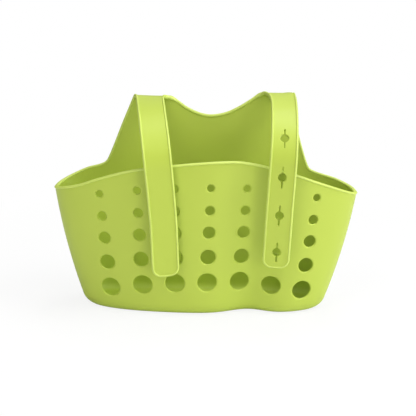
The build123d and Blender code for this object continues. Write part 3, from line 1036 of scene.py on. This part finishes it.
def strapSection(prefix, strap, path, k, cuts, flareAt):
    points, lengths, across = path
    low, high, end = cuts[k], cuts[k + 1], lengths[-1]
    fold = folds[strap["side"]]
    last = k == len(links) - 1
    firsts = (cuts[0], flareAt) if strap["tabSide"] > 0 else (flareAt, cuts[0])
    edges = [edgeLine(strap[name], first, end) for name, first in zip(("leftEdge", "rightEdge"), firsts)]
    if last:
        runs, ghosts = tipOutline(strap, edges, low, end)
    else:
        runs, ghosts = partOutline(strap, edges, k, low, high, flareAt)
    centres = [end - button["fromTip"] - n * button["pitch"] for n in range(strap["buttonHoles"])]
    holes = [buttonHole(centre) for centre in centres if low < centre < high]
    spots, triangles, gaps = sheet(runs, holes, steps["strap"], ghosts)
    u, s = spots.T
    fall = lipThickness(holeGaps(spots, holes), button["round"])
    ear = earShare(s, cuts[0])
    half = wall / 2 + (strapHalf - wall / 2) * ear
    wallY = backFace(strap["foldX"] + u, fold["seam"]) - wall / 2
    lean = (wallY - fold["earY"]) * (1 - eased(ear))
    # The crest of the fold isn't quite straight
    lean = lean + np.interp(u, *zip(*strap["crest"])) * crestShare(s)
    sink = 0
    if last and not strap["buttonHoles"]:
        fromStud = u ** 2 + (s - end + stud["fromTip"]) ** 2
        sink = stud["sink"] * np.exp(-(fromStud / stud["sinkRadius"] ** 2))
    outer = halfThickness(gaps, half, bead["proud"]) - fall + lean - sink
    inner = -halfThickness(gaps, half, bead["back"]) + fall + lean
    spots = spots + np.column_stack([np.interp(s, *zip(*strap["sway"])), np.zeros(len(s))])
    vertices, faces = doubled(spots, triangles, outer, inner, flip=True)
    piece = newPiece(prefix + "_band_" + ("ear" if k == 0 else links[k]), vertices, faces, rubber)
    paintBeadHighlight(piece, gaps)
    curve = pathCurve(prefix + "Path", points)
    runThrough(strapWrap, piece, {"Path": curve, "Across": tuple(map(float, across)), "Taper": taper,
                                  "Fold length": float(-lengths[0]), "Material": rubber})
    bpy.data.objects.remove(curve)
    return finished(piece)


def alongPath(path, at):
    points, lengths = path[:2]
    return np.array([np.interp(at, lengths, points[:, k]) for k in range(3)])


def makeStrap(prefix, strap):
    path = strapPath(prefix, strap)
    points, lengths = path[:2]
    hinges = []
    for child in links:
        anchor = np.array(jointOf(prefix, child)["pos_m"]) / mm
        hinges.append(lengths[np.linalg.norm(points - anchor, axis=1).argmin()])
    seam = folds[strap["side"]]["seam"]
    climb = 18  # points of the path that go up the ear
    seamAt = np.interp(seam, points[:climb, 2], lengths[:climb])
    middle = (hinges[0] + hinges[1]) / 2
    flareAt = seamAt + rim["wave"][0 if strap["side"] == "left" else -1][1] - seam
    cuts = [seamAt, middle] + [hinge - cutBefore for hinge in hinges[2:]] + [lengths[-1]]
    print(prefix, "hinges", [round(float(h), 2) for h in hinges], "cuts", [round(float(c), 2) for c in cuts])
    bodies = ["basket"] + [prefix + "_" + name for name in links]
    for k in range(len(links)):
        piece = strapSection(prefix, strap, path, k, cuts, flareAt)
        reach = bendReach if k > 1 else foldReach
        start, end = alongPath(path, hinges[k] - reach) * mm, alongPath(path, hinges[k] + reach) * mm
        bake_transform(piece)
        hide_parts(prefix + "_" + links[k])
        print(piece.name, len(piece.data.polygons), "faces")
    return path


paths = {prefix: makeStrap(prefix, strap) for prefix, strap in straps.items()}


def studPiece():
    # Turned on a lathe: rings of points up the stem and over the head
    path = paths["stud_strap"]
    lengths, across = path[1:]
    centre = alongPath(path, lengths[-1] - stud["fromTip"])
    run = alongPath(path, lengths[-1] - 4) - alongPath(path, lengths[-1] - 16)
    out = unit(np.cross(across, run))
    side = np.cross(out, across)
    stem, head, flare = stud["stem"], stud["head"], stud["flare"]
    foot = strapHalf
    neck = foot + stud["stemLength"]
    top = neck + stud["headThick"]
    profile = [(0, foot - stud["sunk"]), (stem + flare, foot - stud["sunk"]), (stem + flare, foot)]
    profile += [(stem + flare * (1 - math.sin(a)), foot + flare * (1 - math.cos(a)))
                for a in np.linspace(0.2, math.pi / 2, 5)]
    chamfer, crown = stud["chamfer"], stud["crown"]
    profile += [(stem, neck - 0.2), (stem + 0.2, neck), (head - chamfer, neck), (head, neck + chamfer)]
    belly = neck + 2 * chamfer
    profile += [(head - 3 * chamfer * (1 - math.cos(a)), belly + (top - belly) * math.sin(a))
                for a in np.linspace(0, math.pi / 2, 7)]
    profile += [(1.5, top + crown * 0.75), (0, top + crown)]
    count = 40
    vertices, faces = [], []
    for radius, height in profile:
        for k in range(count):
            turn = 2 * math.pi * k / count
            spot = centre + out * height + (across * math.cos(turn) + side * math.sin(turn)) * radius
            vertices.append(spot * mm)
    for ring in range(len(profile) - 1):
        for k in range(count):
            a, b = ring * count + k, ring * count + (k + 1) % count
            faces.append((a, b, b + count, a + count))
    return finished(newPiece("snap_stud_body", vertices, faces, rubber), sharpAngle=40, faceOut=True)


studBody = studPiece()
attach(studBody, "stud_strap_tip")
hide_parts("snap_stud")
print("snap stud made")


# Floor, light and camera, in metres. The camera sees the pale floor white, but for a faint shade at the tub
stage = {"tone": (0.9, 0.9, 0.9, 1), "shade": 0.15, "near": 0.1, "fade": 0.25, "side": 6, "behind": 60}
white = (1, 1, 1, 1)


def stageMaterial():
    material, w = newMaterial("paleFloor")
    ray = w.add("ShaderNodeLightPath", None, None, "Is Camera Ray")
    place = w.add("ShaderNodeTexCoord", out="Object")
    away = w.vector("LENGTH", place, out="Value")
    clear = ((away - stage["near"]) / stage["fade"]).clamped() * stage["shade"] + (1 - stage["shade"])
    matt = w.add("ShaderNodeBsdfDiffuse", None, {"Color": stage["tone"]})
    plain = w.add("ShaderNodeEmission", None, {"Color": white, "Strength": 1.0})
    mixed = w.add("ShaderNodeMixShader", None, {0: ray * clear, 1: matt, 2: plain})
    w.add("ShaderNodeOutputMaterial", None, {"Surface": mixed})
    return material


side, behind = stage["side"], stage["behind"]
corners = [(-side, -side, 0), (side, -side, 0), (side, behind, 0), (-side, behind, 0)]
floor = newPiece("floor", corners, [(0, 1, 2, 3)], stageMaterial())

# Lamps stand round the tub's middle: name, degrees to the right of the camera's side, degrees up, watts
lampRig = {"middle": Vector((0, 0, 0.07)), "away": 1.3, "size": 0.6, "room": 0.02}
lamps = [("keyHigh", 75, 50, 7.6), ("keyLow", 75, 15, 4.6), ("overhead", 0, 88, 2.2),
         ("fillHigh", -35, 50, 4.7), ("fillLow", -35, 15, 1.4), ("sideHigh", -75, 50, 0.8),
         ("frontHigh", 35, 50, 1.4), ("frontLow", 35, 15, 2.4), ("floorLevel", 30, 3, 1.4),
         ("behindHigh", 155, 70, 5.0), ("behind", 180, 30, 0.6), ("behindRight", 140, 45, 0.5)]


def softLamp(name, around, up, power):
    a, e = math.radians(around), math.radians(up)
    toward = Vector((math.sin(a) * math.cos(e), -math.cos(a) * math.cos(e), math.sin(e)))
    data = bpy.data.lights.new(name, "AREA")
    data.shape = "DISK"
    data.size = lampRig["size"]
    data.energy = power
    lamp = linked(name, data)
    lamp.location = lampRig["middle"] + toward * lampRig["away"]
    lamp.rotation_euler = (lampRig["middle"] - lamp.location).to_track_quat("-Z", "Y").to_euler()


for lamp in lamps:
    softLamp(*lamp)

world = bpy.data.worlds.new("paleRoom")
bpy.context.scene.world = world
world.use_nodes = True
w = Wiring(world.node_tree)
seen = w.add("ShaderNodeLightPath", None, None, "Is Camera Ray")
room, plain = (w.add("ShaderNodeBackground", None, {"Color": white, "Strength": strength})
               for strength in (lampRig["room"], 1.0))
mixed = w.add("ShaderNodeMixShader", None, {0: seen, 1: room, 2: plain})
w.add("ShaderNodeOutputWorld", None, {"Surface": mixed})

view = {"place": Vector((0, -0.54565, 0.19597)), "target": Vector((0, 0, 0.070)), "roll": 1.1, "lens": 72.03,
        "sensor": 36, "shift": (0.0058, -0.0091)}
camera = linked("camera", bpy.data.cameras.new("camera"))
camera.data.lens = view["lens"]
camera.data.sensor_width = view["sensor"]
camera.data.shift_x, camera.data.shift_y = view["shift"]
gaze = (view["target"] - view["place"]).normalized()
level = gaze.cross(Vector((0, 0, 1))).normalized()
upright = level.cross(gaze)
roll = math.radians(view["roll"])
right = level * math.cos(roll) + upright * math.sin(roll)
above = upright * math.cos(roll) - level * math.sin(roll)
turned = Matrix((right, above, -gaze)).transposed().to_4x4()
camera.matrix_world = Matrix.Translation(view["place"]) @ turned
bpy.context.scene.camera = camera

scene = bpy.context.scene
scene.view_settings.view_transform = "Standard"
bpy.context.view_layer.update()
